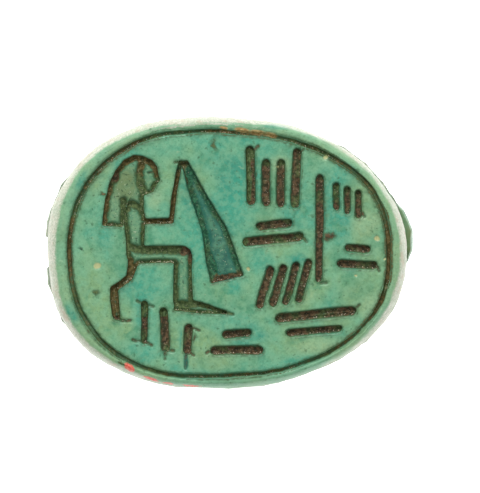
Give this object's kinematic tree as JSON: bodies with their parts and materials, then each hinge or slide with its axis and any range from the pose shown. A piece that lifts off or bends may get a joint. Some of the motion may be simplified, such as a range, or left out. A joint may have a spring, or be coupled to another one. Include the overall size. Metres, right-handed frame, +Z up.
{
  "type": "scarab amulet",
  "caption": "Oval beetle-shaped stone amulet with a domed back, legs in relief, a lengthwise thread hole and a flat engraved seal face.",
  "frame": {"origin": "middle of the outline in plan, on the small flat of the domed back that the amulet lies on", "axes": "+X towards the beetle's head, +Y across it, +Z up, out of the engraved seal face"},
  "size_m": [0.0166, 0.0124, 0.0075],
  "materials": {
    "glazed_stone": "satin"
  },
  "bodies": {
    "root": {"scarab": "glazed_stone"}
  },
  "joints": []
}
